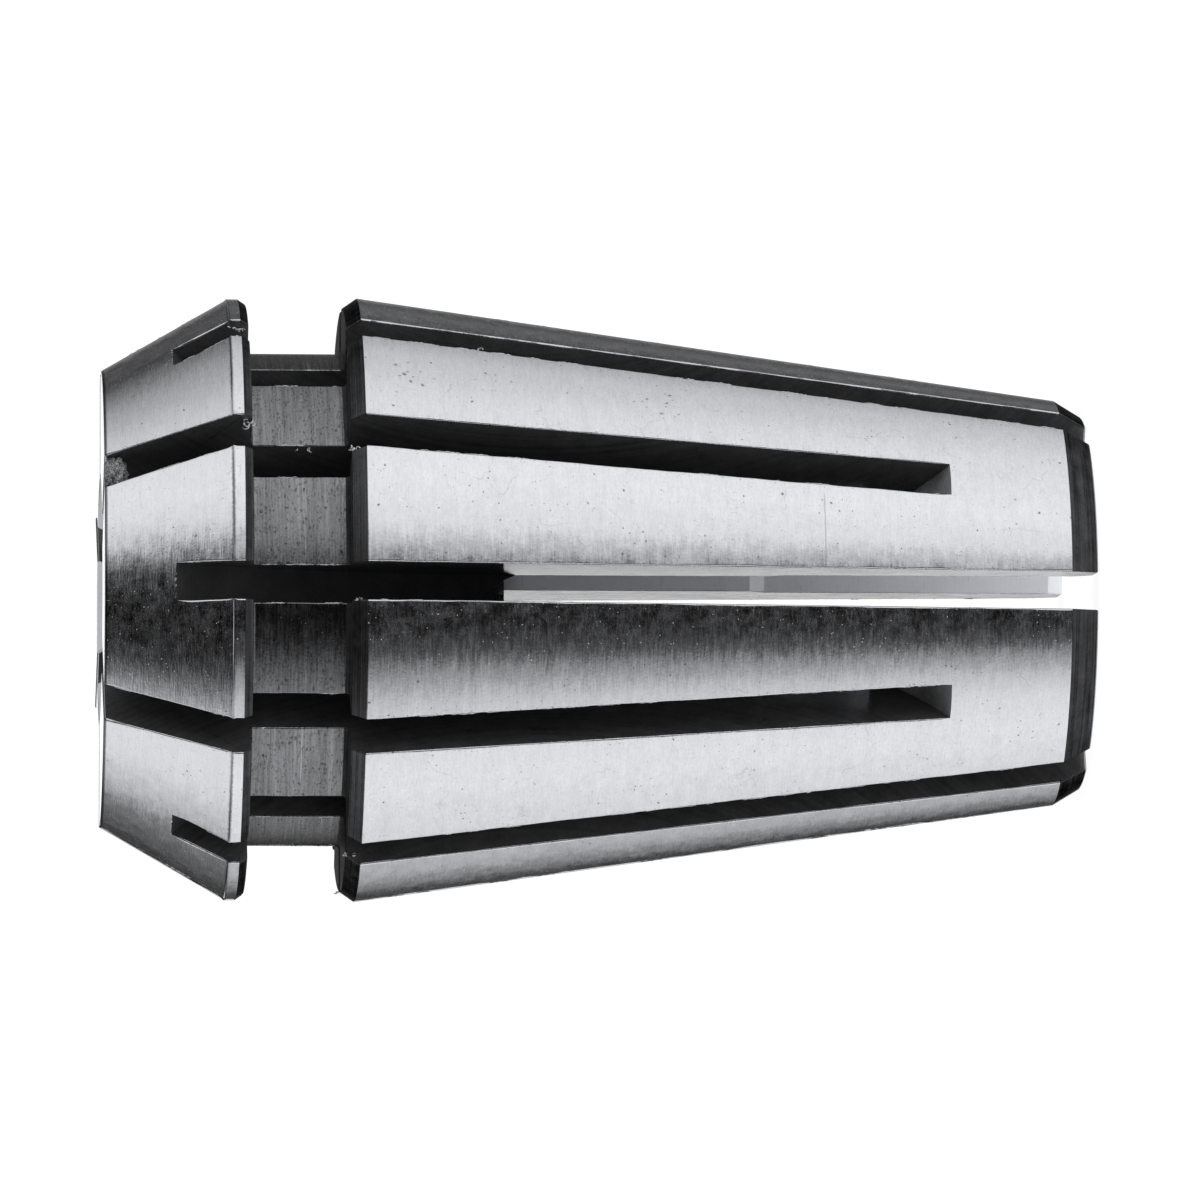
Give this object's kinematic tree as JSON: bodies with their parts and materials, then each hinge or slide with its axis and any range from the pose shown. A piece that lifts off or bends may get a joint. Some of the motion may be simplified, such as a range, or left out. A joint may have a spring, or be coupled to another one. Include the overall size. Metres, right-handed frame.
{
  "type": "die grinder collet",
  "caption": "Slotted spring collet with a long rear taper, an extraction groove, a short nose cone and a through bore that grips a tool shank.",
  "frame": {"origin": "centre of the small end face, on the turning axis", "axes": "+Z along the turning axis towards the nose; the YZ plane runs through the middle of a slot that opens at the small end, and the XZ plane through the middle of a slot that opens at the nose"},
  "size_m": [0.0168, 0.0168, 0.0275],
  "materials": {
    "collet": "hardened steel, finely ground cones and turned chamfers"
  },
  "bodies": {
    "root": {"collet": "collet"}
  },
  "joints": []
}
